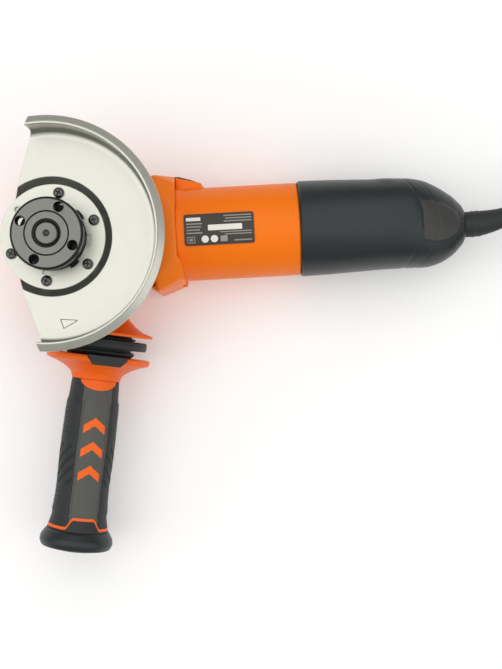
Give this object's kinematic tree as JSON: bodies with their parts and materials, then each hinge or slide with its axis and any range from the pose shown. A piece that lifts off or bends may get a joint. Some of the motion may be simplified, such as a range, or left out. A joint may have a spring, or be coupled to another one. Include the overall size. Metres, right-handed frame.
{
  "type": "angle grinder",
  "caption": "Corded small angle grinder with a damped side handle, a turnable half-round disc guard, a two-pin clamping nut and its bevel gear drive inside.",
  "frame": {"origin": "where the spindle's axis meets the flat back of the gear case, the face that the tool lies on", "axes": "+Z along the spindle towards the disc, +X along the motor towards the cord, -Y towards the side handle"},
  "size_m": [0.4781, 0.2746, 0.095],
  "materials": {
    "orange_plastic": "orange glass-filled nylon, fine texture",
    "orange_paint": "die-cast aluminium with orange paint, satin",
    "orange_handle": "orange-red plastic, satin",
    "black_plastic": "black plastic, satin",
    "rubber": "black rubber, matte",
    "plated_steel": "zinc-plated sheet, satin",
    "dark_steel": "blackened and worn steel",
    "bright_steel": "turned steel",
    "black_screw": "blackened steel",
    "die_cast": "die-cast, as cast and machined",
    "copper": "enamelled copper",
    "brass": "drawn brass and bronze",
    "carbon": "pressed carbon",
    "label": "printed film"
  },
  "bodies": {
    "body": {"gear_case": "orange_paint", "bearing_flange": "die_cast", "spindle_bearing": "bright_steel", "spindle_bush": "brass", "motor_housing": "orange_plastic", "rating_plate": "label", "air_baffle": "black_plastic", "field_core": "dark_steel", "field_coil_left": "copper", "field_coil_right": "copper", "front_bearing": "bright_steel", "rear_bearing": "bright_steel", "brush_holder_upper": "brass", "brush_holder_lower": "brass", "carbon_brush_upper": "carbon", "carbon_brush_lower": "carbon", "rear_cover_lower": "black_plastic", "rear_cover_upper": "black_plastic", "cover_screw_1": "black_screw", "cover_screw_2": "black_screw", "switch_block": "black_plastic", "cord_clamp": "black_plastic", "cord_boot": "rubber", "handle_stud": "bright_steel", "handle_collar": "orange_handle", "damper": "rubber", "handle_core": "orange_handle", "grip_sleeve": "rubber", "handle_cap": "black_plastic", "lever_pin": "bright_steel", "lever_spring": "bright_steel", "lock_spring": "bright_steel", "cord_run": "rubber", "cord_coil": "rubber", "plug": "rubber", "gear_case_screw_1": "black_screw", "gear_case_screw_2": "black_screw", "gear_case_screw_3": "black_screw", "gear_case_screw_4": "black_screw"},
    "armature": {"armature_shaft": "bright_steel", "pinion_gear": "bright_steel", "cooling_fan": "black_plastic", "armature_core": "dark_steel", "commutator": "copper"},
    "spindle_assembly": {"spindle": "bright_steel", "crown_gear": "bright_steel", "inner_flange": "dark_steel", "clamping_nut": "dark_steel"},
    "guard": {"guard_shell": "plated_steel", "guard_collar": "plated_steel", "guard_screw_1": "black_screw", "guard_screw_2": "black_screw", "guard_screw_3": "black_screw", "guard_screw_4": "black_screw", "guard_screw_5": "black_screw"},
    "guard_latch": {"guard_lever": "black_plastic"},
    "switch_slider": {"slide_button": "black_plastic", "switch_rod": "bright_steel"},
    "spindle_lock": {"lock_button": "black_plastic", "lock_pin": "bright_steel"}
  },
  "joints": [
    {"name": "armature_spin", "type": "hinge", "parent": "body", "child": "armature", "pos_m": [0, 0, 0.034], "axis": [1, 0, 0], "continuous": true},
    {"name": "spindle_spin", "type": "hinge", "parent": "body", "child": "spindle_assembly", "pos_m": [0, 0, 0], "axis": [0, 0, 1], "continuous": true},
    {"name": "guard_turn", "type": "hinge", "parent": "body", "child": "guard", "pos_m": [0, 0, 0], "axis": [0, 0, 1], "range_deg": [-90, 90]},
    {"name": "latch_press", "type": "hinge", "parent": "body", "child": "guard_latch", "pos_m": [0.03284, 0.02144, 0.0644], "axis": [0, 0, -1], "range_deg": [0, 12], "stiffness_Nm_per_rad": 0.15},
    {"name": "switch_slide", "type": "slide", "parent": "body", "child": "switch_slider", "axis": [-1, 0, 0], "range_m": [0, 0.005], "stiffness_N_per_m": 400},
    {"name": "spindle_lock_press", "type": "slide", "parent": "body", "child": "spindle_lock", "axis": [0, 0, 1], "range_m": [0, 0.004], "stiffness_N_per_m": 600, "deforming": ["lock_spring"]}
  ],
  "couplings": [
    {"joint": "spindle_spin", "follows": "armature_spin", "ratio": -0.33333}
  ]
}
